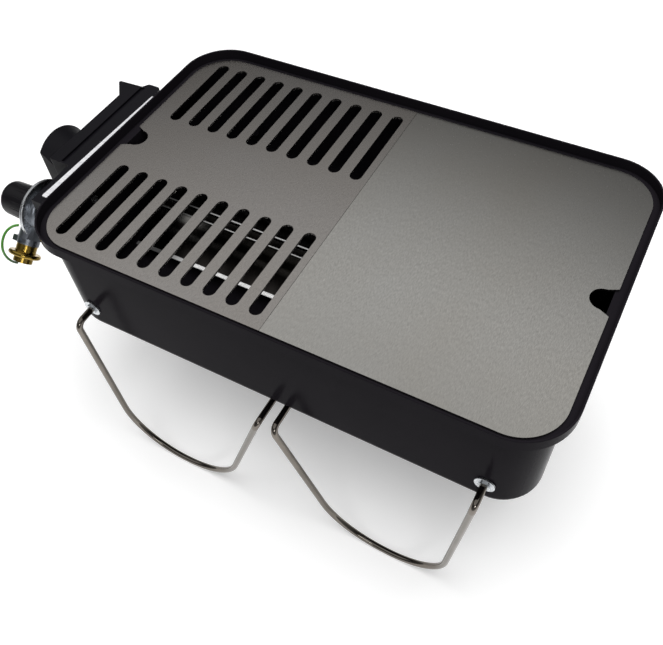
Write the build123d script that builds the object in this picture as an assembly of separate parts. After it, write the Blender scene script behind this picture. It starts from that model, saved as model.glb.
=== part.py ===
from build123d import *
from math import atan2, cos, radians, sin, tan
import os

# Table-top gas grill on two folding wire legs, in millimetres.
# Origin: on the floor under the middle of the whole grill. +X right, +Y back, +Z up.
# The gas controls are on the left end (-X), so each piece is drawn about the middle
# of the bowl and moved along X by SIDE_SHIFT when it is written.

# ---- driving dimensions -------------------------------------------------
PLATE_TOP = 256.0  # cooking surface above the floor
PLATE_LENGTH = 410.0  # both plates together, along X
PLATE_DEPTH = 254.8
PLATE_THICKNESS = 2.0
PLATE_CORNER = 33.0
SEAM_X = 2.0  # the two plates meet here
SEAM_GAP = 0.3
REST_GAP = 0.02  # air left between parts that only touch

SLOT_COLUMNS = 10
SLOT_PITCH = 19.4
SLOT_FIRST_X = -183.8
SLOT_WIDTH = 10.2
PUNCHING_Y = -1.2  # the slots and notches sit a little in front of the middle
SLOT_NEAR_Y = 32.2  # slot ends, measured from PUNCHING_Y
SLOT_FAR_Y = 116.6
NOTCH_RADIUS = 9.4
NOTCH_INSET = 7.2  # notch centre to the plate's edge
NOTCH_FLARE = 3.5

RIM_OFFSET = 7.0  # plate edge to the rim's outer face
RIM_RISE = 7.0  # rim above the plates
RIM_THICKNESS = 1.6
SHEET = 1.4  # bowl wall and ledge
WALL_OFFSET = -0.8  # plate edge to the bowl wall's outer face
BOWL_FLOOR_Z = PLATE_TOP - 100.5  # underside of the bowl
WALL_TAPER = 0.3  # degrees
BOWL_FILLET = 10.0

PIVOT_X = 171.5
PIVOT_Z = PLATE_TOP - 74.0
WIRE_R = 2.75
LEG_PLANE_Y = 146.3  # middle of the wire on the front and back sides
LEG_ELBOW = 7.0
NUT_DISC_R = 7.5
CORNER_GAP = 0.9  # keeps the inside nuts off the start of the bowl's corners
STUB_END_Y = 120.5
PIVOT_CLEARANCE = 0.08
CROSSBAR_Z = BOWL_FLOOR_Z - WIRE_R - 0.2

BURNER_Z = PLATE_TOP - 80.0
BURNER_R = 8.0
BURNER_WALL = 0.8
BURNER_LEFT_X = -206.0
BURNER_RIGHT_X = 178.0
PORT_PITCH = 3.0
PORT_FIRST_X = -171.0
PORT_LAST_X = 150.0
TAMER_CREST_Z = PLATE_TOP - 71.0
TAMER_LIP_Z = PLATE_TOP - 82.0
TAMER_GAP_Y = 5.3  # half the opening over the burner
TAMER_LIP_Y = 44.0
TAMER_LIP_WIDTH = 3.1
TAMER_LEFT_X = -190.0
TAMER_RIGHT_X = 160.0
TAMER_SHEET = 1.0
BRIDGE_INSET = 13.4  # from the tamer's ends to the bridges between its wings
BRIDGE_WIDTH = 8.0
TAMER_FOOT = 6.0

SHIELD_X = -213.0  # face of the heat shield towards the bowl
SHIELD_SHEET = 1.0
SHIELD_TOP = PLATE_TOP - 6.0
HOUSING_TOP = PLATE_TOP - 9.0
HOUSING_BOTTOM = PLATE_TOP - 94.0
SHALLOW_BOTTOM = PLATE_TOP - 56.0
HOUSING_FRONT_Y = -93.0
STEP_Y = -47.0  # the deep part starts here
SHIELD_FRONT_Y = -91.0
SHIELD_BACK_Y = 65.0
FLANGE_FRONT_Y = -87.3
FLANGE_BACK_Y = 56.0
HOUSING_WALL = 2.5
HOUSING_OPEN_X = -214.2  # open side, closed by the heat shield
SHALLOW_X = -238.0  # outer face behind the regulator
DEEP_X = -259.0  # outer face of the deep part
BOSS_Y = -25.0
BOSS_Z = PLATE_TOP - 31.6
BOSS_ROOT_R = 22.6  # at the deep part's outer face, level with the housing's top
BOSS_R = 30.75
BOSS_FLAT_Y = -45.2
BOSS_X = -272.0

REG_Y = -77.3  # regulator and gas knob axis, along X
REG_Z = PLATE_TOP - 39.9
REG_R = 27.0
REG_BACK_R = 20.5
REG_BACK_X = -244.0
REG_RIM_X = -252.0
KNOB_BASE_X = -260.5
KNOB_END_X = -290.0
KNOB_R = 16.0
INLET_X = -254.5
INLET_DROP = 40.0  # degrees below horizontal, towards the front
INLET_SIDE = 4.9  # the inlet's axis passes this far above the regulator's axis
FLANGE_END = 43.5  # along the inlet's axis, from the point nearest the regulator's axis
NOSE_END = 48.5
JET_X = -228.2

IGNITER_R = 9.0
BUTTON_R = 6.5
BUTTON_TRAVEL = 5.0

SIDE_SHIFT = -(KNOB_END_X + PLATE_LENGTH / 2 + RIM_OFFSET) / 2


# ---- shared helpers -----------------------------------------------------
def rod_x(x0, x1, y, z, r):
    """Solid cylinder along X from x0 to x1."""
    return Pos((x0 + x1) / 2, y, z) * Rot(0, 90, 0) * Cylinder(r, abs(x1 - x0))


def rod_y(y0, y1, x, z, r):
    """Solid cylinder along Y from y0 to y1."""
    return Pos(x, (y0 + y1) / 2, z) * Rot(90, 0, 0) * Cylinder(r, abs(y1 - y0))


def rod_z(z0, z1, x, y, r):
    """Solid cylinder along Z from z0 to z1."""
    return Pos(x, y, (z0 + z1) / 2) * Cylinder(r, abs(z1 - z0))


def block(x0, x1, y0, y1, z0, z1):
    """Box between two corners."""
    middle = Pos((x0 + x1) / 2, (y0 + y1) / 2, (z0 + z1) / 2)
    return middle * Box(abs(x1 - x0), abs(y1 - y0), abs(z1 - z0))


def rounded_slab(offset, z0, z1, taper=0.0):
    """Slab with the plates' outline grown by offset, from z1 down to z0."""
    outline = RectangleRounded(
        PLATE_LENGTH + 2 * offset,
        PLATE_DEPTH + 2 * offset,
        PLATE_CORNER + offset,
    )
    down = Pos(0, 0, z1) * Rot(180, 0, 0) * outline
    return extrude(down, amount=z1 - z0, taper=taper)


def on_inlet(x, distance):
    """Point beside the inlet's axis, which leaves the regulator to the front and down."""
    a = radians(INLET_DROP)
    y = REG_Y - distance * cos(a) - INLET_SIDE * sin(a)
    z = REG_Z - distance * sin(a) + INLET_SIDE * cos(a)
    return Pos(x, y, z)


def inlet_rod(start, end, r):
    """Cylinder on the inlet's axis between two distances from the regulator's axis."""
    centre = on_inlet(INLET_X, (start + end) / 2)
    return centre * Rot(90 + INLET_DROP, 0, 0) * Cylinder(r, end - start)


def inlet_box(x, distance, width, length, height):
    """Box turned to the inlet's axis, its middle at x and a distance along the axis."""
    return on_inlet(x, distance) * Rot(INLET_DROP, 0, 0) * Box(width, length, height)


def raised(outline, z0, z1):
    """Plan outline made into a solid between two heights."""
    return Pos(0, 0, z0) * extrude(outline, amount=z1 - z0, dir=(0, 0, 1))


def swept_tube(path, r):
    """Round bar of radius r along a wire."""
    section = Plane(origin=path @ 0, z_dir=path % 0) * Circle(r)
    return sweep(section, path=path)


def write(name, *solids):
    """Write one named piece, or a group of identical pieces, as a STEP file."""
    moved = [Pos(SIDE_SHIFT, 0, 0) * solid for solid in solids]
    shape = moved[0] if len(moved) == 1 else Compound(children=moved)
    shape.label = name
    export_step(shape, f"parts/{name}.step")


# ---- bowl ---------------------------------------------------------------
LEDGE_TOP = PLATE_TOP - PLATE_THICKNESS - REST_GAP
LEDGE_BOTTOM = LEDGE_TOP - SHEET
RIM_TOP = PLATE_TOP + RIM_RISE
WALL_TOP_X = PLATE_LENGTH / 2 + WALL_OFFSET
WALL_TOP_Y = PLATE_DEPTH / 2 + WALL_OFFSET
VENT_X = (-78.0, -41.0, 67.5, 109.5)
VENT_WIDTH = 12.0
SPACER_YZ = [
    (-62.0, PLATE_TOP - 20.0),
    (40.0, PLATE_TOP - 20.0),
    (-38.0, PLATE_TOP - 70.0),
    (40.0, PLATE_TOP - 70.0),
]
LEAD_Y = 18.0  # igniter electrode beside the burner
BRACKET_X = 166.0
BRACKET_SCREW_Y = 14.0
SCREW_R = 2.0


def wall_inset(z):
    """How far the tapered wall has moved in at height z."""
    return (LEDGE_BOTTOM - z) * tan(radians(WALL_TAPER))


def wall_y(z):
    """The wall's outer face on the back side at height z."""
    return WALL_TOP_Y - wall_inset(z)


def bowl_shell():
    outer = rounded_slab(WALL_OFFSET, BOWL_FLOOR_Z, LEDGE_TOP, WALL_TAPER)
    outer = fillet(outer.edges().group_by(Axis.Z)[0], BOWL_FILLET)
    inner = rounded_slab(WALL_OFFSET - SHEET, BOWL_FLOOR_Z + SHEET, LEDGE_TOP, WALL_TAPER)
    inner = fillet(inner.edges().group_by(Axis.Z)[0], BOWL_FILLET - SHEET)
    return outer - inner


def rim_and_ledge():
    band = rounded_slab(RIM_OFFSET, LEDGE_BOTTOM, RIM_TOP)
    recess = rounded_slab(RIM_OFFSET - RIM_THICKNESS, LEDGE_TOP, RIM_TOP)
    opening = rounded_slab(WALL_OFFSET - SHEET / 2, LEDGE_BOTTOM, LEDGE_TOP)
    band = band - recess - opening
    top_edges = band.edges().group_by(Axis.Z)[-1]
    return fillet(top_edges, RIM_THICKNESS * 0.45)


def bowl_holes():
    """Everything pierced through the bowl."""
    holes = []
    hole_r = WIRE_R + PIVOT_CLEARANCE
    for x in (-PIVOT_X, PIVOT_X):
        for side in (-1, 1):
            holes.append(rod_y(side * 118, side * 130, x, PIVOT_Z, hole_r))
    holes.append(rod_x(-215, -180, 0, BURNER_Z, VENTURI_R + 0.15))
    holes.append(rod_x(-215, -180, LEAD_Y, BURNER_Z, INSULATOR_R + 0.15))
    for y, z in SPACER_YZ:
        holes.append(rod_x(-215, -190, y, z, RIVET_R + REST_GAP))
    for x in VENT_X:
        for side in (-1, 1):
            holes.append(Pos(x, side * 115, BOWL_FLOOR_Z + 2) * Box(VENT_WIDTH, 16, 12))
    for side in (-1, 1):
        y = side * BRACKET_SCREW_Y
        holes.append(rod_z(BOWL_FLOOR_Z - 5, BOWL_FLOOR_Z + 5, BRACKET_X + 9, y, SCREW_R + 0.05))
    return holes


def bowl():
    body = bowl_shell() + rim_and_ledge()
    for hole in bowl_holes():
        body -= hole
    return body


# ---- plates -------------------------------------------------------------
def plate_blank(x0, x1):
    """Part of the two-piece cooking surface between x0 and x1."""
    slab = rounded_slab(0, PLATE_TOP - PLATE_THICKNESS, PLATE_TOP)
    return slab & block(x0, x1, -200, 200, PLATE_TOP - 10, PLATE_TOP + 10)


def finger_notch(side):
    """Round lifting notch in the middle of a short edge, with a flared mouth."""
    edge = side * PLATE_LENGTH / 2
    centre_x = edge - side * NOTCH_INSET
    bore = rod_z(PLATE_TOP - 5, PLATE_TOP + 5, centre_x, PUNCHING_Y, NOTCH_RADIUS)
    mouth = Polygon(
        (0, -NOTCH_RADIUS - NOTCH_FLARE),
        (0, NOTCH_RADIUS + NOTCH_FLARE),
        (-NOTCH_INSET, NOTCH_RADIUS),
        (-NOTCH_INSET, -NOTCH_RADIUS),
        align=None,
    )
    mouth = extrude(mouth, amount=5, both=True)
    mouth = mouth if side > 0 else mirror(mouth, about=Plane.YZ)
    return bore + Pos(edge, PUNCHING_Y, PLATE_TOP) * mouth


def grill_plate():
    plate = plate_blank(-PLATE_LENGTH / 2, SEAM_X - SEAM_GAP / 2)
    length = SLOT_FAR_Y - SLOT_NEAR_Y
    slot = extrude(SlotOverall(length, SLOT_WIDTH, rotation=90), amount=10, both=True)
    for column in range(SLOT_COLUMNS):
        x = SLOT_FIRST_X + column * SLOT_PITCH
        for side in (-1, 1):
            y = PUNCHING_Y + side * (SLOT_NEAR_Y + length / 2)
            plate -= Pos(x, y, PLATE_TOP) * slot
    return plate - finger_notch(-1)


def griddle_plate():
    plate = plate_blank(SEAM_X + SEAM_GAP / 2, PLATE_LENGTH / 2)
    return plate - finger_notch(1)


# ---- folding legs -------------------------------------------------------
# Outline of each leg seen from the front: the side from the pivot down to the
# outer corner, the foot, the inner corner, then up to the crossbar. The lean is
# how far the feet stand inside the pivots' plane.
LEG_SHAPES = {
    "left": {"outer_x": 163.0, "outer_r": 57.0, "inner_x": 59.5, "inner_r": 68.0,
             "bar_x": 4.0, "lean": 0.0},
    "right": {"outer_x": 154.0, "outer_r": 52.0, "inner_x": 59.0, "inner_r": 64.0,
              "bar_x": 9.4, "lean": 6.7},
}


def leg(side, shape):
    """Closed wire loop: stub, front side, crossbar under the bowl, back side, stub."""
    outline = [
        (PIVOT_X, PIVOT_Z),
        (shape["outer_x"], WIRE_R),
        (shape["inner_x"], WIRE_R),
        (shape["bar_x"], CROSSBAR_Z),
    ]
    lean = shape["lean"] / (PIVOT_Z - WIRE_R)
    front = [(side * x, -LEG_PLANE_Y + lean * (PIVOT_Z - z), z) for x, z in outline]
    back = [(x, -y, z) for x, y, z in reversed(front)]
    first = (side * PIVOT_X, -STUB_END_Y, PIVOT_Z)
    last = (side * PIVOT_X, STUB_END_Y, PIVOT_Z)
    points = [first, *front, *back, last]
    bends = [LEG_ELBOW, shape["outer_r"], shape["inner_r"], LEG_ELBOW]
    path = FilletPolyline(*points, radius=bends + bends[::-1])
    return swept_tube(path, WIRE_R)


def push_nut(side, end):
    """Domed push-on washer that keeps the wire in the bowl wall."""
    x = side * PIVOT_X
    y0 = wall_y(PIVOT_Z) + 0.2
    y1 = y0 + 1.2
    disc = rod_y(end * y0, end * y1, x, PIVOT_Z, NUT_DISC_R)
    hub = rod_y(end * y1, end * (y1 + 1.6), x, PIVOT_Z, 4.4)
    bore = rod_y(end * (y0 - 1), end * (y1 + 3), x, PIVOT_Z, WIRE_R + REST_GAP)
    return disc + hub - bore


def inside_nut(side, end):
    """Flat push-on washer on the wire's end, inside the bowl."""
    x = side * PIVOT_X
    y1 = wall_y(PIVOT_Z) - SHEET - CORNER_GAP
    disc = rod_y(end * (y1 - 1.6), end * y1, x, PIVOT_Z, NUT_DISC_R - 1)
    return disc - rod_y(end * (y1 - 3), end * (y1 + 3), x, PIVOT_Z, WIRE_R + REST_GAP)


def leg_nuts(side):
    """Two nuts outside the walls and two inside."""
    return [nut(side, end) for end in (-1, 1) for nut in (push_nut, inside_nut)]


# ---- burner and flame tamer --------------------------------------------
VENTURI_R = 10.0
VENTURI_LEFT_X = -222.0
VENTURI_RIGHT_X = -194.0


def burner_tube():
    tube = rod_x(BURNER_LEFT_X, BURNER_RIGHT_X, 0, BURNER_Z, BURNER_R)
    tube -= rod_x(BURNER_LEFT_X - 1, BURNER_RIGHT_X - 3, 0, BURNER_Z, BURNER_R - BURNER_WALL)
    count = int((PORT_LAST_X - PORT_FIRST_X) / PORT_PITCH) + 1
    ports = []
    for side in (-1, 1):
        port = Rot(side * -30, 0, 0) * Pos(0, 0, BURNER_R) * Box(1.6, 3.0, 6)
        ports += [Pos(PORT_FIRST_X + i * PORT_PITCH, 0, BURNER_Z) * port for i in range(count)]
    return tube - ports


def venturi():
    """Mixing tube over the burner's gas end, with two air windows."""
    tube = rod_x(VENTURI_LEFT_X, VENTURI_RIGHT_X, 0, BURNER_Z, VENTURI_R)
    tube -= rod_x(VENTURI_LEFT_X - 1, VENTURI_RIGHT_X + 1, 0, BURNER_Z, BURNER_R + REST_GAP)
    return tube - Pos(-216.0, 0, BURNER_Z) * Box(5, 12, 30)


def tamer_wing(side):
    """One sloping wing with its flat lip, as a thick line pushed along X."""
    t = TAMER_SHEET
    outline = Polygon(
        (side * TAMER_GAP_Y, TAMER_CREST_Z),
        (side * TAMER_LIP_Y, TAMER_LIP_Z),
        (side * (TAMER_LIP_Y + TAMER_LIP_WIDTH), TAMER_LIP_Z),
        (side * (TAMER_LIP_Y + TAMER_LIP_WIDTH), TAMER_LIP_Z - t),
        (side * (TAMER_LIP_Y - 0.3), TAMER_LIP_Z - t),
        (side * TAMER_GAP_Y, TAMER_CREST_Z - t),
        align=None,
    )
    wing = extrude(Plane.YZ * outline, amount=TAMER_RIGHT_X - TAMER_LEFT_X, dir=(1, 0, 0))
    return Pos(TAMER_LEFT_X, 0, 0) * wing


def flame_tamer():
    """Two wings over the burner, joined by two bridges and standing on four feet."""
    body = tamer_wing(-1) + tamer_wing(1)
    top = TAMER_CREST_Z
    foot_z = BOWL_FLOOR_Z + SHEET + REST_GAP
    for end_x, inward in ((TAMER_LEFT_X, 1), (TAMER_RIGHT_X, -1)):
        near = end_x + inward * BRIDGE_INSET
        far = near + inward * BRIDGE_WIDTH
        body += block(near, far, -TAMER_GAP_Y, TAMER_GAP_Y, top - TAMER_SHEET, top)
        foot_x = end_x + inward * TAMER_FOOT
        for side in (-1, 1):
            y0, y1 = side * TAMER_LIP_Y, side * (TAMER_LIP_Y + TAMER_SHEET)
            body += block(end_x, foot_x, y0, y1, foot_z, TAMER_LIP_Z - TAMER_SHEET / 2)
    return body


def burner_bracket():
    """Angle that holds the closed end of the burner, screwed to the bowl."""
    floor = BOWL_FLOOR_Z + SHEET + REST_GAP
    plate = block(BRACKET_X, BRACKET_X + 1.5, -20, 20, floor, BURNER_Z + 12)
    foot = block(BRACKET_X, BRACKET_X + 16, -20, 20, floor, floor + 1.5)
    body = plate + foot
    body -= rod_x(BRACKET_X - 2, BRACKET_X + 4, 0, BURNER_Z, BURNER_R + REST_GAP)
    for side in (-1, 1):
        y = side * BRACKET_SCREW_Y
        body -= rod_z(floor - 2, floor + 4, BRACKET_X + 9, y, SCREW_R + 0.05)
    return body


def burner_screws():
    """Pan-head screws with nuts, through the bracket's foot and the bowl."""
    screws = []
    top = BOWL_FLOOR_Z + SHEET + 1.5 + 2 * REST_GAP
    for side in (-1, 1):
        x, y = BRACKET_X + 9, side * BRACKET_SCREW_Y
        head = rod_z(top, top + 2.2, x, y, 3.8)
        shank = rod_z(BOWL_FLOOR_Z - 2.4, top, x, y, SCREW_R)
        nut = rod_z(BOWL_FLOOR_Z - 2.4, BOWL_FLOOR_Z - REST_GAP, x, y, 3.6)
        screws.append(head + shank + nut)
    return screws


# ---- heat shield and control housing -----------------------------------
RIVET_R = 2.0
SCREW_POSTS = [
    (-85.0, PLATE_TOP - 16.0),
    (-87.0, PLATE_TOP - 52.0),
    (60.0, PLATE_TOP - 16.0),
    (60.0, PLATE_TOP - 86.0),
]
POST_R = 4.0
FLARE_POST_X = -264.0  # the deep posts end inside the flared wall
PILOT_R = 1.5


def heat_shield():
    """Bright sheet between bowl and housing, with a top flange that narrows to the back."""
    outer_x = SHIELD_X - SHIELD_SHEET
    front, back = SHIELD_FRONT_Y, SHIELD_BACK_Y
    upright = block(outer_x, SHIELD_X, front, back, SHALLOW_BOTTOM, SHIELD_TOP)
    upright += block(outer_x, SHIELD_X, STEP_Y, back, HOUSING_BOTTOM, SHIELD_TOP)
    flange = Polygon(
        (SHIELD_X, FLANGE_FRONT_Y),
        (SHIELD_X, FLANGE_BACK_Y),
        (-226.8, FLANGE_BACK_Y),
        (-230.4, FLANGE_FRONT_Y),
        align=None,
    )
    flange = fillet(flange.vertices().sort_by(Axis.X)[:2], 1.0)
    body = upright + raised(flange, SHIELD_TOP - SHIELD_SHEET, SHIELD_TOP)
    body -= rod_x(-216, -210, 0, BURNER_Z, VENTURI_R + 0.3)
    body -= rod_x(-216, -210, LEAD_Y, BURNER_Z, INSULATOR_R + 0.3)
    for y, z in SPACER_YZ:
        body -= rod_x(-216, -210, y, z, RIVET_R + REST_GAP)
    for y, z in SCREW_POSTS:
        body -= rod_x(-216, -210, y, z, PILOT_R + 0.2)
    return body


def shield_rivets():
    """Spacer rivets that hold the heat shield off the bowl's end wall."""
    rivets = []
    for y, z in SPACER_YZ:
        wall_x = -WALL_TOP_X + wall_inset(z)
        outer_face = wall_x - 0.25
        inner_face = wall_x + SHEET + 0.25
        spacer = rod_x(outer_face, SHIELD_X + REST_GAP, y, z, 4.0)
        shank = rod_x(inner_face, SHIELD_X - SHIELD_SHEET - REST_GAP, y, z, RIVET_R)
        inner_head = rod_x(inner_face, inner_face + 1.2, y, z, 3.6)
        outer_x = SHIELD_X - SHIELD_SHEET - REST_GAP
        outer_head = rod_x(outer_x, outer_x - 1.2, y, z, 3.6)
        rivets.append(spacer + shank + inner_head + outer_head)
    return rivets


def deep_outline(open_x):
    """Plan of the deep part, with a flared corner and a raised rib at the back."""
    return Polygon(
        (open_x, STEP_Y),
        (DEEP_X, STEP_Y),
        (DEEP_X, 48),
        (-273, 65.5),
        (-247, 67),
        (-243, 72.5),
        (-231, 72.5),
        (-229, 66),
        (open_x, 66),
        align=None,
    )


def shallow_block(inset):
    """The narrow part behind the regulator, reaching into the deep part."""
    s = inset
    return block(
        HOUSING_OPEN_X,
        SHALLOW_X + s,
        HOUSING_FRONT_Y + s,
        STEP_Y + 4 * HOUSING_WALL,
        SHALLOW_BOTTOM + s,
        HOUSING_TOP - s,
    )


def housing_boss(x0, x1, inset):
    """Round boss around the igniter, wider towards its face and cut flat at its front side."""
    slope = (BOSS_R - BOSS_ROOT_R) / (DEEP_X - BOSS_X)
    r0 = BOSS_ROOT_R + (DEEP_X - x0) * slope - inset
    r1 = BOSS_ROOT_R + (DEEP_X - x1) * slope - inset
    cone = Pos((x0 + x1) / 2, BOSS_Y, BOSS_Z) * Rot(0, -90, 0) * Cone(r0, r1, x0 - x1)
    return cone & block(-300, -200, BOSS_FLAT_Y + inset, 50, 0, 300)


def control_housing():
    w = HOUSING_WALL
    deep = raised(deep_outline(HOUSING_OPEN_X), HOUSING_BOTTOM, HOUSING_TOP)
    outer_edges = deep.edges().filter_by(Axis.Z).sort_by(Axis.X)[:3]
    deep = fillet(outer_edges, 1.5)
    rib_edges = deep.edges().filter_by(Axis.Z).sort_by(Axis.Y)[-2:]
    deep = fillet(rib_edges, 3.0)
    boss = housing_boss(DEEP_X + 1, BOSS_X, 0)
    boss = fillet(boss.edges().group_by(Axis.X)[0], 0.6)
    cavity = offset(deep_outline(HOUSING_OPEN_X + w), amount=-w, kind=Kind.INTERSECTION)
    shell = deep + shallow_block(0) + boss
    shell -= raised(cavity, HOUSING_BOTTOM + w, HOUSING_TOP - w)
    shell -= shallow_block(w)
    shell -= housing_boss(DEEP_X + w + 1, BOSS_X + w, w)
    for y, z in SCREW_POSTS:
        end_x = SHALLOW_X + 1 if y < STEP_Y else FLARE_POST_X
        post = rod_x(HOUSING_OPEN_X, end_x, y, z, POST_R)
        shell += post - rod_x(HOUSING_OPEN_X + 1, HOUSING_OPEN_X - 12, y, z, PILOT_R + REST_GAP)
    shell -= rod_x(SHALLOW_X - 5, SHALLOW_X + 5, REG_Y, REG_Z, OUTLET_R + 0.1)
    shell -= rod_x(BOSS_X - 1, BOSS_X + 5, BOSS_Y, BOSS_Z, BUTTON_R + 0.6)
    groove = block(-247.5, -243, BOSS_FLAT_Y, 66, HOUSING_TOP - 2, HOUSING_TOP + 1)
    return shell - groove


def housing_screws():
    """Screws through the heat shield into the housing's posts."""
    screws = []
    head_x = SHIELD_X + REST_GAP
    for y, z in SCREW_POSTS:
        head = rod_x(head_x, head_x + 1.8, y, z, 3.2)
        shank = rod_x(head_x, HOUSING_OPEN_X - 10, y, z, PILOT_R)
        screws.append(head + shank)
    return screws


# ---- regulator, knob, inlet --------------------------------------------
OUTLET_R = 8.0
NUT_R = 11.0
OUTLET_END_X = -223.0
PIPE_R = 3.5
JET_BLOCK = 14.0
PIPE_SOCKET = 3.5
STEM_R = 9.3
STEM_START = 17.0  # clear of the knob
STEM_END = 32.5
LUG_END_X = -266.4
SEAL_START = FLANGE_END + 1.5  # bottom of the inlet's mouth
SPINDLE_R = 3.0
CORD_POINTS = [
    (-262.6, -99.6, PLATE_TOP - 42.8),
    (-266.5, -104.5, PLATE_TOP - 42.3),
    (-271.3, -113.9, PLATE_TOP - 49.8),
    (-271.3, -118.4, PLATE_TOP - 56.3),
    (-271.3, -119.7, PLATE_TOP - 65.4),
    (-271.3, -113.5, PLATE_TOP - 80.9),
]


def pipe_path():
    """Centre line of the gas pipe, from inside the outlet to inside the jet block."""
    start = (JET_X, REG_Y + OUTLET_R - PIPE_SOCKET, REG_Z)
    bend = (JET_X, STEP_Y - 1.0, REG_Z)
    fall = atan2(REG_Z - BURNER_Z, -bend[1])
    reach = JET_BLOCK / 2 - PIPE_SOCKET
    end = (JET_X, -reach, BURNER_Z + reach * tan(fall))
    return FilletPolyline(start, bend, end, radius=12)


def inlet_arm(gap):
    """Stem that carries the inlet and the block that joins it to the round body."""
    width = REG_BACK_X - INLET_X
    root_x = (REG_BACK_X + INLET_X) / 2
    root = inlet_box(root_x, 20, width + 2 * gap, 14 + 2 * gap, 16 + 2 * gap)
    return root + inlet_rod(STEM_START - gap, STEM_END, STEM_R + gap)


def regulator_body():
    """Cast body: round back, outlet boss through the housing, and the inlet stem."""
    plate = rod_x(REG_BACK_X, REG_RIM_X + 1.5, REG_Y, REG_Z, REG_BACK_R)
    neck = rod_x(REG_BACK_X, SHALLOW_X - 0.3, REG_Y, REG_Z, 14.0)
    cone = fillet(plate.edges().group_by(Axis.X)[-1], 4.0)
    outlet = rod_x(REG_BACK_X, OUTLET_END_X, REG_Y, REG_Z, OUTLET_R)
    lug = inlet_box((INLET_X + LUG_END_X) / 2, STEM_END - 2.5, INLET_X - LUG_END_X, 5, 12)
    body = cone + neck + outlet + inlet_arm(0) + lug
    body -= swept_tube(pipe_path(), PIPE_R + REST_GAP)
    body -= on_inlet(INLET_X + 1, 30) * Rot(INLET_DROP, 0, 0) * Pos(0, 0, STEM_R) * Box(6, 3.5, 4)
    body -= inlet_rod(STEM_END - 6, STEM_END + 1, 6.0 + REST_GAP)
    return body - rod_x(REG_RIM_X - 5, REG_RIM_X + 6, REG_Y, REG_Z, SPINDLE_R + 0.06)


def regulator_cover_blank():
    """Domed front cover with a rolled edge, before its bore is made."""
    edge = rod_x(REG_RIM_X + 1.5, REG_RIM_X - 1.5, REG_Y, REG_Z, REG_R)
    edge = fillet(edge.edges(), 1.2)
    dome = rod_x(REG_RIM_X - 1, -257.0, REG_Y, REG_Z, REG_R - 3)
    dome = fillet(dome.edges().group_by(Axis.X)[0], 3.0)
    collar = rod_x(-256.5, KNOB_BASE_X + 0.5, REG_Y, REG_Z, 11.0)
    return edge + dome + collar


def regulator_cover():
    """Cover cut away where the inlet arm passes in front of it."""
    cover = regulator_cover_blank() - inlet_arm(REST_GAP)
    return cover - rod_x(-240, -270, REG_Y, REG_Z, SPINDLE_R + 0.06)


def gas_knob():
    """Tapered knob with grip ribs and a pointer line."""
    length = KNOB_BASE_X - KNOB_END_X
    knob = Pos(KNOB_BASE_X, REG_Y, REG_Z) * Rot(0, -90, 0)
    knob *= extrude(Circle(KNOB_R), amount=length, taper=2.2)
    knob = fillet(knob.edges().group_by(Axis.X)[0], 5.0)
    ribs = 18
    for i in range(ribs):
        a = radians(360.0 / ribs * i)
        y, z = REG_Y + (KNOB_R + 0.2) * cos(a), REG_Z + (KNOB_R + 0.2) * sin(a)
        knob -= rod_x(KNOB_BASE_X - 5, KNOB_END_X - 1, y, z, 0.9)
    pointer = block(KNOB_END_X - 1, KNOB_END_X + 0.8, REG_Y - 0.8, REG_Y + 0.8, REG_Z + 3, REG_Z + 9)
    socket = rod_x(KNOB_BASE_X + 1, KNOB_END_X + 8, REG_Y, REG_Z, SPINDLE_R + REST_GAP)
    return knob - pointer - socket


def knob_spindle():
    return rod_x(REG_RIM_X + 4, KNOB_END_X + 8.5, REG_Y, REG_Z, SPINDLE_R)


def regulator_nut():
    """Hexagon nut on the outlet, inside the housing."""
    x0 = SHALLOW_X + HOUSING_WALL + REST_GAP
    nut = Pos(x0, REG_Y, REG_Z) * Rot(0, 90, 0) * extrude(RegularPolygon(NUT_R, 6), amount=3)
    return nut - rod_x(x0 - 1, x0 + 5, REG_Y, REG_Z, OUTLET_R + REST_GAP)


def gas_inlet():
    """Brass inlet: spigot in the stem, neck, rounded flange and open nose."""
    spigot = inlet_rod(STEM_END - 6 + REST_GAP, STEM_END + REST_GAP, 6.0)
    neck = inlet_rod(STEM_END + REST_GAP, FLANGE_END - 3, 8.6)
    flange = inlet_rod(FLANGE_END - 4.1, FLANGE_END, 13.4)
    flange = fillet(flange.edges(), 1.7)
    nose = inlet_rod(FLANGE_END - 0.5, NOSE_END, 8.0)
    body = spigot + neck + flange + nose
    body -= inlet_rod(SEAL_START, NOSE_END + 1, 5.5)
    return body - inlet_rod(STEM_END - 8, NOSE_END, 2.0)


def inlet_seal():
    """Rubber ring at the bottom of the inlet's mouth."""
    ring = inlet_rod(SEAL_START + REST_GAP, SEAL_START + 2.2, 5.5 - REST_GAP)
    return ring - inlet_rod(SEAL_START - 1, SEAL_START + 4, 3.0)


def cap_lanyard():
    """Plastic cord from the regulator's edge, round the flange to the inlet's mouth."""
    return swept_tube(Spline(*CORD_POINTS), 1.1)


def gas_pipe():
    path = pipe_path()
    return swept_tube(path, PIPE_R) - swept_tube(path, PIPE_R - 1)


def jet():
    """Brass jet block and the jet that points into the mixing tube."""
    half = JET_BLOCK / 2
    body = block(JET_X - 5, JET_X + 3, -half, half, BURNER_Z - half, BURNER_Z + half)
    body += rod_x(JET_X + 3, VENTURI_LEFT_X + 3, 0, BURNER_Z, 3.2)
    body -= swept_tube(pipe_path(), PIPE_R + REST_GAP)
    return body - rod_x(JET_X, VENTURI_LEFT_X + 4, 0, BURNER_Z, 0.5)


# ---- igniter ------------------------------------------------------------
INSULATOR_R = 3.5
ELECTRODE_BRACKET_X = -176.0


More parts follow.
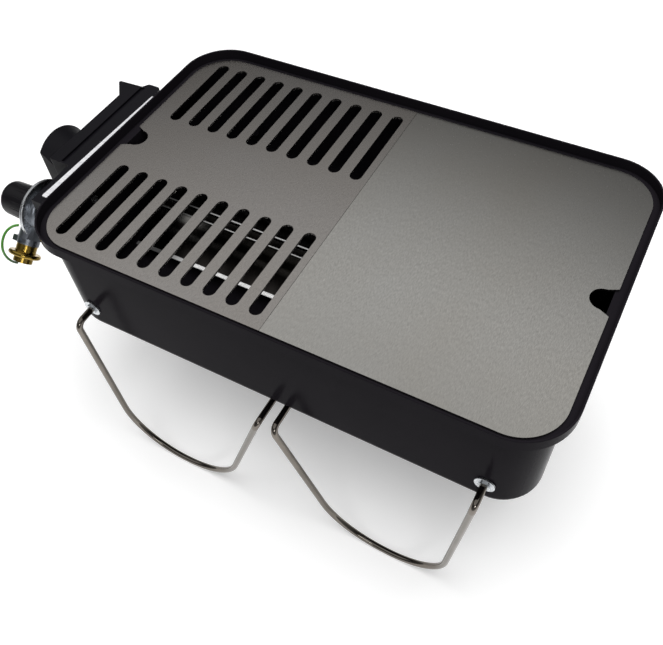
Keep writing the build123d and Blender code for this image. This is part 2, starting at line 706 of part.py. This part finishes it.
def igniter_body():
    """Spark unit behind the button."""
    front = BOSS_X + HOUSING_WALL + REST_GAP
    body = rod_x(front, -236, BOSS_Y, BOSS_Z, IGNITER_R)
    body += rod_x(-236, -231, BOSS_Y, BOSS_Z, 3.0)
    return body - rod_x(front - 1, -252, BOSS_Y, BOSS_Z, BUTTON_R + 0.08)


def igniter_nut():
    """Ring nut that clamps the spark unit in the boss."""
    front = BOSS_X + HOUSING_WALL + 0.1
    ring = rod_x(front, front + 3, BOSS_Y, BOSS_Z, 12.5)
    return ring - rod_x(front - 1, front + 4, BOSS_Y, BOSS_Z, IGNITER_R + REST_GAP)


def igniter_button():
    button = rod_x(BOSS_X - BUTTON_TRAVEL - 0.5, -260, BOSS_Y, BOSS_Z, BUTTON_R)
    return fillet(button.edges().group_by(Axis.X)[0], 1.8)


def electrode_insulator():
    body = rod_x(-205, -166, LEAD_Y, BURNER_Z, INSULATOR_R)
    return body - rod_x(-210, -160, LEAD_Y, BURNER_Z, 1.2 + REST_GAP)


def electrode_rod():
    """Spark wire out of the insulator, bent over to the burner ports."""
    path = FilletPolyline(
        (-207, LEAD_Y, BURNER_Z),
        (-152, LEAD_Y, BURNER_Z),
        (-146, LEAD_Y - 4.5, BURNER_Z + 3.0),
        radius=2.5,
    )
    return swept_tube(path, 1.2)


def electrode_bracket():
    """Saddle under the burner that carries the insulator, low enough to clear the tamer."""
    x0, x1 = ELECTRODE_BRACKET_X, ELECTRODE_BRACKET_X + 1.2
    plate = block(x0, x1, -11, LEAD_Y + 7, BURNER_Z - 11, BURNER_Z + 1.5)
    plate -= rod_x(x0 - 1, x1 + 1, 0, BURNER_Z, BURNER_R + REST_GAP)
    return plate - rod_x(x0 - 1, x1 + 1, LEAD_Y, BURNER_Z, INSULATOR_R + REST_GAP)


def igniter_lead():
    """Cable from the spark unit to the electrode."""
    points = [
        (-229.6, BOSS_Y, BOSS_Z),
        (-224, -5, BURNER_Z + 29),
        (-219, LEAD_Y - 4, BURNER_Z + 14),
        (-215, LEAD_Y, BURNER_Z + 1),
        (-207.3, LEAD_Y, BURNER_Z),
    ]
    tangents = [(1, 0, -0.6), (1, 0, 0)]
    return swept_tube(Spline(*points, tangents=tangents), 1.5)


# ---- output -------------------------------------------------------------
def main():
    os.makedirs("parts", exist_ok=True)
    write("bowl", bowl())
    write("grill_plate", grill_plate())
    write("griddle_plate", griddle_plate())
    write("left_leg", leg(-1, LEG_SHAPES["left"]))
    write("right_leg", leg(1, LEG_SHAPES["right"]))
    write("left_leg_nuts", *leg_nuts(-1))
    write("right_leg_nuts", *leg_nuts(1))
    write("burner_tube", burner_tube())
    write("venturi", venturi())
    write("flame_tamer", flame_tamer())
    write("burner_bracket", burner_bracket())
    write("burner_screws", *burner_screws())
    write("heat_shield", heat_shield())
    write("shield_rivets", *shield_rivets())
    write("control_housing", control_housing())
    write("housing_screws", *housing_screws())
    write("regulator_body", regulator_body())
    write("regulator_cover", regulator_cover())
    write("gas_knob", gas_knob())
    write("knob_spindle", knob_spindle())
    write("regulator_nut", regulator_nut())
    write("gas_inlet", gas_inlet())
    write("inlet_seal", inlet_seal())
    write("cap_lanyard", cap_lanyard())
    write("gas_pipe", gas_pipe())
    write("jet", jet())
    write("igniter_body", igniter_body())
    write("igniter_nut", igniter_nut())
    write("igniter_button", igniter_button())
    write("electrode_insulator", electrode_insulator())
    write("electrode_rod", electrode_rod())
    write("electrode_bracket", electrode_bracket())
    write("igniter_lead", igniter_lead())


main()
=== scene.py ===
from math import cos, radians, sin

import bpy
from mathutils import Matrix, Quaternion, Vector


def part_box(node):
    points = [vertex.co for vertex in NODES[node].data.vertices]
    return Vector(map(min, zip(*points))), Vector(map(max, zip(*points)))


# Folding camp grill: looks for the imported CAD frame. Metres, origin on the floor
# under the whole grill, +X right, +Y back, +Z up. The gas controls are at the left end.

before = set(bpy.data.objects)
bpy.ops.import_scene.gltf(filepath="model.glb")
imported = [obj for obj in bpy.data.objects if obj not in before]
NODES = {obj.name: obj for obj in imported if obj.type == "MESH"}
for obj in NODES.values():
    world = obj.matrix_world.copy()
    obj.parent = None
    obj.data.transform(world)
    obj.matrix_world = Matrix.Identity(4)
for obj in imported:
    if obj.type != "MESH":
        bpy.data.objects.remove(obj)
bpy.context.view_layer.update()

MM = 0.001
PLATE_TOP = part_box("grill_plate")[1].z
TAMER_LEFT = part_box("flame_tamer")[0].x
TAMER_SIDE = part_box("flame_tamer")[1].y

# Stretches over which one look fades into the next, each as (start, end).
LIP_FADE_Y = (TAMER_SIDE - 3.5 * MM, TAMER_SIDE - 3.0 * MM)
LIP_FADE_Z = (PLATE_TOP - 83.4 * MM, PLATE_TOP - 83.0 * MM)  # the tamer's feet stay dark
CREST_FADE_Y = (5.8 * MM, 6.4 * MM)
# Painted shade: the tamer's lips and crests dim towards the left end over this stretch.
SHADE_FADE_X = (TAMER_LEFT + 27 * MM, TAMER_LEFT + 63 * MM)
# Painted reflection: span across the wings over which the pale and dark bands are laid out.
REFLECTION_SPAN_Y = (0.0, 50 * MM)
# Painted highlight: the burner's pale shoulder band lies between these two stretches.
HIGHLIGHT_FRONT_Y = (-6.0 * MM, -5.5 * MM)
HIGHLIGHT_BACK_Y = (-3.6 * MM, -3.0 * MM)
CORD_DARKEN_Z = (PLATE_TOP - 84 * MM, PLATE_TOP - 44 * MM)

ENAMEL_IOR = 1.055  # low, so that the enamel stays black where it faces the softbox
# Painted light: glow strength of the tamer's lips and crest edges.
PAINTED_LIP_GLOW = 0.30  # the tamer's lips are brighter in the photograph than steel gets here
FLOOR_GLOW = 0.27
MIX_A, MIX_B, MIX_RESULT = 6, 7, 2  # the Mix node's colour sockets


# ---- node helpers -------------------------------------------------------
class Look:
    """A material with short calls for the textures that drive its main shader."""

    def __init__(self, name, colour, metallic=0.0, roughness=0.5, specular=0.5):
        self.material = bpy.data.materials.new(name)
        self.material.use_nodes = True
        self.nodes = self.material.node_tree.nodes
        self.links = self.material.node_tree.links
        self.shader = self.nodes["Principled BSDF"]
        self.shader.inputs["Base Color"].default_value = (*colour, 1)
        self.shader.inputs["Metallic"].default_value = metallic
        self.shader.inputs["Roughness"].default_value = roughness
        self.shader.inputs["Specular IOR Level"].default_value = specular
        self.material.diffuse_color = (*colour, 1)
        self.place = self.nodes.new("ShaderNodeTexCoord").outputs["Object"]

    def set(self, **inputs):
        """Fix shader inputs; an underscore stands for a space in the input's name."""
        for name, value in inputs.items():
            self.shader.inputs[name.replace("_", " ")].default_value = value

    def feed(self, source, name):
        """Drive a shader input by a node's output."""
        self.links.new(source, self.shader.inputs[name])

    def plug(self, socket, value):
        """Give a node's socket a number, a colour or another node's output."""
        if isinstance(value, (int, float)):
            socket.default_value = value
        elif isinstance(value, tuple):
            socket.default_value = (*value, 1)
        else:
            self.links.new(value, socket)

    def noise(self, scale, stretch=(1, 1, 1), detail=2.0, rough=0.5):
        """Noise of about 1/scale metres, stretched by the given factors."""
        mapping = self.nodes.new("ShaderNodeMapping")
        mapping.inputs["Scale"].default_value = [scale / s for s in stretch]
        self.links.new(self.place, mapping.inputs["Vector"])
        texture = self.nodes.new("ShaderNodeTexNoise")
        texture.inputs["Scale"].default_value = 1.0
        texture.inputs["Detail"].default_value = detail
        texture.inputs["Roughness"].default_value = rough
        self.links.new(mapping.outputs["Vector"], texture.inputs["Vector"])
        return texture.outputs["Fac"]

    def coordinate(self, axis):
        split = self.nodes.new("ShaderNodeSeparateXYZ")
        self.links.new(self.place, split.inputs["Vector"])
        return split.outputs[axis]

    def math(self, operation, a, b=0.0):
        node = self.nodes.new("ShaderNodeMath")
        node.operation = operation
        self.plug(node.inputs[0], a)
        self.plug(node.inputs[1], b)
        return node.outputs["Value"]

    def spread(self, source, low, high, at=(0.3, 0.7)):
        """Source between the two limits of at becomes low to high, clamped."""
        node = self.nodes.new("ShaderNodeMapRange")
        values = {"From Min": at[0], "From Max": at[1], "To Min": low, "To Max": high}
        for name, value in values.items():
            node.inputs[name].default_value = value
        self.links.new(source, node.inputs["Value"])
        return node.outputs["Result"]

    def rise(self, source, at):
        """0 before the stretch, 1 after it."""
        return self.spread(source, 0.0, 1.0, at)

    def fall(self, source, at):
        """1 before the stretch, 0 after it."""
        return self.spread(source, 1.0, 0.0, at)

    def colours(self, source, *stops):
        """Colour ramp from (position, colour) stops."""
        node = self.nodes.new("ShaderNodeValToRGB")
        ramp = node.color_ramp
        while len(ramp.elements) < len(stops):
            ramp.elements.new(0.5)
        for element, (position, colour) in zip(ramp.elements, stops):
            element.position = position
            element.color = (*colour, 1)
        self.links.new(source, node.inputs["Fac"])
        return node.outputs["Color"]

    def blend(self, source, first, second, at=(0.3, 0.7)):
        """Colour ramp from the first colour to the second over the two limits of at."""
        return self.colours(source, (at[0], first), (at[1], second))

    def multiply(self, colour, factor):
        """Colour times a grey factor."""
        node = self.nodes.new("ShaderNodeVectorMath")
        node.operation = "SCALE"
        self.links.new(colour, node.inputs[0])
        self.links.new(factor, node.inputs["Scale"])
        return node.outputs["Vector"]

    def mix(self, factor, a, b):
        """Colour a where the factor is 0, colour b where it is 1."""
        node = self.nodes.new("ShaderNodeMix")
        node.data_type = "RGBA"
        self.links.new(factor, node.inputs["Factor"])
        self.plug(node.inputs[MIX_A], a)
        self.plug(node.inputs[MIX_B], b)
        return node.outputs[MIX_RESULT]

    def bump(self, height, strength, depth):
        node = self.nodes.new("ShaderNodeBump")
        node.inputs["Strength"].default_value = strength
        node.inputs["Distance"].default_value = depth
        self.links.new(height, node.inputs["Height"])
        self.feed(node.outputs["Normal"], "Normal")


def scaled(colour, *factors):
    """A colour with its channels multiplied, by one factor for all or by one each."""
    if len(factors) == 1:
        factors *= 3
    return tuple(c * f for c, f in zip(colour, factors))


# ---- materials ----------------------------------------------------------
def black_enamel():
    """Gloss black stove enamel with a faint orange-peel surface."""
    look = Look("black_enamel", (0.006, 0.0055, 0.007))
    cloud = look.noise(14, detail=3)
    look.feed(look.spread(cloud, 0.12, 0.22), "Roughness")
    tint = look.blend(cloud, (0.0088, 0.0078, 0.0098), (0.0110, 0.0096, 0.0120))
    look.feed(tint, "Base Color")
    look.set(IOR=ENAMEL_IOR)
    look.bump(look.noise(420, detail=1), strength=0.06, depth=0.4 * MM)
    return look.material


def ground_steel(name, colour, streak, contrast, roughness):
    """Ground steel sheet with its grain along Y."""
    look = Look(name, colour, metallic=1.0)
    fine = look.noise(3200, stretch=(1, 9, 1), detail=2)
    coarse = look.noise(streak, stretch=(1, 4, 1), detail=3, rough=0.6)
    cloud = look.noise(9, detail=3)
    grain = look.math("ADD", look.math("MULTIPLY", fine, 0.5), look.math("MULTIPLY", coarse, 0.5))
    shade = look.spread(grain, 1 - contrast, 1 + contrast)
    shade = look.math("MULTIPLY", shade, look.spread(cloud, 0.97, 1.03))
    tint = look.blend(cloud, scaled(colour, 1.02, 1, 0.97), colour)
    look.feed(look.multiply(tint, shade), "Base Color")
    look.feed(look.spread(grain, roughness + 0.07, roughness - 0.05), "Roughness")
    look.bump(grain, strength=0.10, depth=0.2 * MM)
    return look.material


def black_nickel():
    """Dark plated wire, nearly a mirror."""
    look = Look("black_nickel", (0.21, 0.19, 0.165), metallic=1.0)
    cloud = look.noise(60, detail=2)
    look.feed(look.spread(cloud, 0.06, 0.14), "Roughness")
    tint = look.blend(cloud, (0.16, 0.145, 0.125), (0.195, 0.175, 0.155))
    look.feed(tint, "Base Color")
    look.bump(look.noise(900, detail=1), strength=0.04, depth=0.1 * MM)
    return look.material


def zinc_plate(name="zinc_plate", colour=(0.62, 0.64, 0.66), roughness=0.28):
    """Bright zinc with faint spangle and small scratches."""
    look = Look(name, colour, metallic=1.0)
    spangle = look.noise(700, detail=2)
    scratch = look.noise(1800, stretch=(1, 9, 3), detail=1)
    look.feed(look.blend(spangle, scaled(colour, 0.82), colour), "Base Color")
    look.feed(look.spread(scratch, roughness - 0.06, roughness + 0.10), "Roughness")
    look.bump(scratch, strength=0.05, depth=0.1 * MM)
    return look.material


def bright_sheet():
    """Bright rolled sheet of the heat shield, grain across the strip."""
    look = Look("bright_sheet", (0.90, 0.90, 0.94), metallic=0.5)
    grain = look.noise(1900, stretch=(14, 1, 4), detail=2)
    tint = look.blend(grain, (0.70, 0.70, 0.74), (0.97, 0.97, 0.99), at=(0.32, 0.62))
    look.feed(tint, "Base Color")
    look.feed(look.spread(grain, 0.36, 0.5), "Roughness")
    look.bump(grain, strength=0.15, depth=0.2 * MM)
    return look.material


def painted_reflection_bands(look, across):
    """Painted reflection: pale bands along the wings with dark ones between, at wandering distances
    from the middle.
    """
    dark, pale = (0.05, 0.045, 0.042), (0.36, 0.35, 0.33)
    wander = look.math("MULTIPLY", look.math("SUBTRACT", look.noise(30, detail=3), 0.5), 4 * MM)
    band = look.rise(look.math("ADD", across, wander), REFLECTION_SPAN_Y)
    return look.colours(
        band, (0.12, dark), (0.16, pale), (0.24, pale), (0.30, dark),
        (0.39, dark), (0.43, pale), (0.47, pale), (0.54, dark),
    )


def tamer_steel():
    """Polished wings with painted reflections; lips and crest edges painted near white and glowing
    as painted light, dimmed towards the left end as painted shade.
    """
    look = Look("tamer_steel", (0.3, 0.29, 0.28))
    across = look.math("ABSOLUTE", look.coordinate("Y"))
    flat = look.rise(look.coordinate("Z"), LIP_FADE_Z)
    lip = look.math("MULTIPLY", look.rise(across, LIP_FADE_Y), flat)
    crest = look.fall(across, CREST_FADE_Y)
    # Painted shade: the lips and crests darken towards the left end, down to 0.12 of their
    # brightness.
    undarkened = look.spread(look.coordinate("X"), 0.12, 1.0, SHADE_FADE_X)
    # Painted light: where the lips and crest edges are painted near white and glow.
    painted_light_mask = look.math("MULTIPLY", look.math("MAXIMUM", lip, crest), undarkened)
    look.feed(look.mix(painted_light_mask, painted_reflection_bands(look, across), (0.98, 0.98, 0.97)), "Base Color")
    look.set(Emission_Color=(1, 1, 1, 1))
    look.feed(look.spread(painted_light_mask, 0.0, PAINTED_LIP_GLOW, (0, 1)), "Emission Strength")
    look.feed(look.spread(painted_light_mask, 0.20, 0.6, (0, 1)), "Roughness")
    look.feed(look.fall(painted_light_mask, (0, 1)), "Metallic")
    look.bump(look.noise(500, stretch=(8, 1, 1), detail=1), strength=0.05, depth=0.1 * MM)
    return look.material


def burnt_steel():
    """Burner steel dulled by heat, with a painted highlight: a paler band along its front shoulder.
    """
    look = Look("burnt_steel", (0.1, 0.09, 0.08), metallic=1.0)
    cloud = look.noise(45, detail=4)
    speck = look.noise(900, detail=2)
    soot = look.blend(cloud, (0.02, 0.018, 0.018), (0.05, 0.045, 0.04))
    place = look.coordinate("Y")
    front = look.rise(place, HIGHLIGHT_FRONT_Y)
    back = look.fall(place, HIGHLIGHT_BACK_Y)
    band = look.math("MULTIPLY", front, back)
    # Painted highlight: the pale band along the front shoulder.
    look.feed(look.mix(band, soot, (0.55, 0.53, 0.50)), "Base Color")
    look.feed(look.spread(speck, 0.35, 0.6), "Roughness")
    look.bump(speck, strength=0.1, depth=0.2 * MM)
    return look.material


def cast_zinc():
    """Satin die-cast body with a fine grainy skin."""
    look = Look("cast_zinc", (0.30, 0.32, 0.35), metallic=1.0)
    skin = look.noise(1300, detail=3)
    cloud = look.noise(60, detail=2)
    look.feed(look.blend(cloud, (0.19, 0.205, 0.23), (0.24, 0.258, 0.29)), "Base Color")
    look.feed(look.spread(skin, 0.28, 0.40), "Roughness")
    look.bump(skin, strength=0.08, depth=0.1 * MM)
    return look.material


def turned_brass():
    """Brass with turning rings and a light tarnish."""
    look = Look("turned_brass", (0.40, 0.28, 0.06), metallic=1.0)
    cloud = look.noise(60, detail=2)
    look.feed(look.blend(cloud, (0.27, 0.175, 0.03), (0.37, 0.25, 0.055)), "Base Color")
    ring = look.noise(1600, stretch=(6, 1, 1), detail=1)
    look.feed(look.spread(ring, 0.16, 0.26), "Roughness")
    look.bump(ring, strength=0.04, depth=0.1 * MM)
    return look.material


def moulded(name, colour, roughness, grain=900, strength=0.12, specular=0.3):
    """Moulded plastic or rubber with a fine leathery grain."""
    look = Look(name, colour, specular=specular)
    skin = look.noise(grain, detail=2)
    cloud = look.noise(22, detail=3)
    look.feed(look.blend(cloud, scaled(colour, 0.8), scaled(colour, 1.2)), "Base Color")
    look.feed(look.spread(cloud, roughness - 0.06, roughness + 0.08), "Roughness")
    look.bump(skin, strength, depth=0.2 * MM)
    return look.material


def green_cord():
    """Glossy green plastic cord, darker towards its lower end."""
    look = Look("green_cord", (0.05, 0.20, 0.02), roughness=0.3)
    wander = look.math("MULTIPLY", look.noise(200), 3 * MM)
    height = look.rise(look.math("ADD", look.coordinate("Z"), wander), CORD_DARKEN_Z)
    darkest, dull, undarkened = (0.01, 0.012, 0.01), (0.02, 0.09, 0.008), (0.055, 0.22, 0.02)
    look.feed(look.colours(height, (0.0, darkest), (0.3, dull), (0.6, undarkened)), "Base Color")
    look.bump(look.noise(700, detail=1), strength=0.05, depth=0.2 * MM)
    return look.material


def ceramic():
    return moulded("ceramic", (0.78, 0.76, 0.70), 0.25, grain=300, strength=0.04, specular=0.5)


def white_floor():
    """Pale studio floor, partly self-lit so that shadows stay soft and light."""
    look = Look("white_floor", (0.86, 0.86, 0.86), roughness=0.9, specular=0.0)
    cloud = look.noise(1.5, detail=2)
    look.feed(look.blend(cloud, (0.85, 0.85, 0.85), (0.87, 0.87, 0.87)), "Base Color")
    look.set(Emission_Color=(1, 1, 1, 1), Emission_Strength=FLOOR_GLOW)
    return look.material


def paint(node, material):
    """Give a carried-over CAD node its material."""
    mesh = NODES[node].data
    mesh.materials.clear()
    mesh.materials.append(material)


def sheet_metals():
    """Materials of the bowl, plates, tamer, shield and burner, with the nodes that wear them."""
    return {
        black_enamel(): ["bowl"],
        ground_steel("grill_steel", (0.375, 0.357, 0.343), 1500, 0.10, 0.26): ["grill_plate"],
        ground_steel("griddle_steel", (0.43, 0.424, 0.405), 1250, 0.15, 0.22): ["griddle_plate"],
        tamer_steel(): ["flame_tamer"],
        bright_sheet(): ["heat_shield"],
        burnt_steel(): ["burner_tube", "venturi", "electrode_rod"],
    }


def fittings():
    """Materials of the legs, fasteners and gas parts, with the nodes that wear them."""
    fasteners = ["left_leg_nuts", "right_leg_nuts", "burner_screws", "shield_rivets",
                 "housing_screws", "regulator_nut"]
    pressings = ["burner_bracket", "electrode_bracket", "regulator_cover"]
    return {
        black_nickel(): ["left_leg", "right_leg"],
        zinc_plate(): fasteners + pressings,
        zinc_plate("drawn_tube", (0.7, 0.7, 0.7), 0.3): ["gas_pipe"],
        cast_zinc(): ["regulator_body"],
        turned_brass(): ["gas_inlet", "jet", "knob_spindle"],
    }


def mouldings():
    """Materials of the plastic, rubber and ceramic pieces, with the nodes that wear them."""
    matt = moulded("matt_black", (0.0050, 0.0046, 0.0064), 0.5, specular=0.17)
    gloss = moulded(
        "gloss_black", (0.0042, 0.0038, 0.0050), 0.35, grain=500, strength=0.06, specular=0.2
    )
    rubber = moulded("black_rubber", (0.012, 0.012, 0.012), 0.7, grain=600)
    return {
        matt: ["control_housing", "igniter_body", "igniter_nut"],
        gloss: ["gas_knob", "igniter_button"],
        rubber: ["inlet_seal", "igniter_lead"],
        green_cord(): ["cap_lanyard"],
        ceramic(): ["electrode_insulator"],
    }


def dress_frame():
    for group in (sheet_metals(), fittings(), mouldings()):
        for material, names in group.items():
            for name in names:
                paint(name, material)


# ---- studio -------------------------------------------------------------
VIEW_AZIMUTH = 32.55
VIEW_ELEVATION = 52.97
VIEW_ROLL = -4.97
CAMERA_PLACE = (0.2459, -0.3568, 0.6604)
LENS_MM = 40.88
SENSOR_MM = 36.0
FLOOR_HALF = 4.0
LAMP_TARGET = (0, 0, 0.1)
SOFTBOX_LEAN = 0.17  # the softbox's edge is lower towards -X

# What reflections see, as (steepness of the direction, grey): a dim room, then the softbox.
SKY = [(0.0, 0.30), (0.60, 0.04), (0.67, 0.10), (0.75, 0.62), (0.81, 0.86), (0.89, 0.64)]


def camera():
    """Camera at the photograph's angle, slightly rolled."""
    data = bpy.data.cameras.new("camera")
    data.sensor_width = SENSOR_MM
    data.lens = LENS_MM
    data.clip_start = 10 * MM
    cam = bpy.data.objects.new("camera", data)
    azimuth, elevation = radians(VIEW_AZIMUTH), radians(VIEW_ELEVATION)
    back = Vector((sin(azimuth) * cos(elevation), -cos(azimuth) * cos(elevation), sin(elevation)))
    roll = Quaternion((0, 0, 1), radians(VIEW_ROLL))
    cam.rotation_mode = "QUATERNION"
    cam.rotation_quaternion = back.to_track_quat("Z", "Y") @ roll
    cam.location = CAMERA_PLACE
    bpy.context.scene.collection.objects.link(cam)
    bpy.context.scene.camera = cam


def softbox(name, place, size, power):
    """Rectangular lamp that faces the grill."""
    data = bpy.data.lights.new(name, "AREA")
    data.shape = "RECTANGLE"
    data.size, data.size_y = size
    data.energy = power
    lamp = bpy.data.objects.new(name, data)
    lamp.location = place
    aim = Vector(LAMP_TARGET) - Vector(place)
    lamp.rotation_mode = "QUATERNION"
    lamp.rotation_quaternion = aim.to_track_quat("-Z", "Y")
    bpy.context.scene.collection.objects.link(lamp)
    return lamp


def reflected_sky(nodes, links):
    """Grey of the surroundings, from how steeply a direction points up."""
    geometry = nodes.new("ShaderNodeNewGeometry")
    dot = nodes.new("ShaderNodeVectorMath")
    dot.operation = "DOT_PRODUCT"
    dot.inputs[1].default_value = (SOFTBOX_LEAN, 0, -1)
    links.new(geometry.outputs["Incoming"], dot.inputs[0])
    ramp = nodes.new("ShaderNodeValToRGB")
    links.new(dot.outputs["Value"], ramp.inputs["Fac"])
    elements = ramp.color_ramp.elements
    while len(elements) < len(SKY):
        elements.new(0.5)
    for element, (position, grey) in zip(elements, SKY):
        element.position = position
        element.color = (grey, grey, grey, 1)
    return ramp.outputs["Color"]


def studio_world():
    """White to the camera. Reflections see one big softbox overhead above a dim room."""
    world = bpy.data.worlds.new("studio")
    world.use_nodes = True
    nodes, links = world.node_tree.nodes, world.node_tree.links
    nodes.clear()
    seen = nodes.new("ShaderNodeBackground")
    seen.inputs["Strength"].default_value = 1.0
    seen.inputs["Color"].default_value = (1, 1, 1, 1)
    lit = nodes.new("ShaderNodeBackground")
    links.new(reflected_sky(nodes, links), lit.inputs["Color"])
    path = nodes.new("ShaderNodeLightPath")
    mix = nodes.new("ShaderNodeMixShader")
    links.new(path.outputs["Is Camera Ray"], mix.inputs["Fac"])
    links.new(lit.outputs["Background"], mix.inputs[1])
    links.new(seen.outputs["Background"], mix.inputs[2])
    out = nodes.new("ShaderNodeOutputWorld")
    links.new(mix.outputs["Shader"], out.inputs["Surface"])
    bpy.context.scene.world = world


def floor():
    mesh = bpy.data.meshes.new("floor")
    corners = [(x * FLOOR_HALF, y * FLOOR_HALF, 0) for x, y in ((-1, -1), (1, -1), (1, 1), (-1, 1))]
    mesh.from_pydata(corners, [], [(0, 1, 2, 3)])
    ground = bpy.data.objects.new("floor", mesh)
    mesh.materials.append(white_floor())
    bpy.context.scene.collection.objects.link(ground)


def studio():
    studio_world()
    floor()
    overhead = softbox("overhead", place=(0.1, 0.0, 1.9), size=(1.8, 1.4), power=36)
    overhead.visible_glossy = False
    softbox("front_strip", place=(0.9, -1.6, 1.2), size=(0.9, 0.25), power=5)
    view = bpy.context.scene.view_settings
    view.view_transform = "Standard"
    view.look = "None"


dress_frame()
studio()
camera()
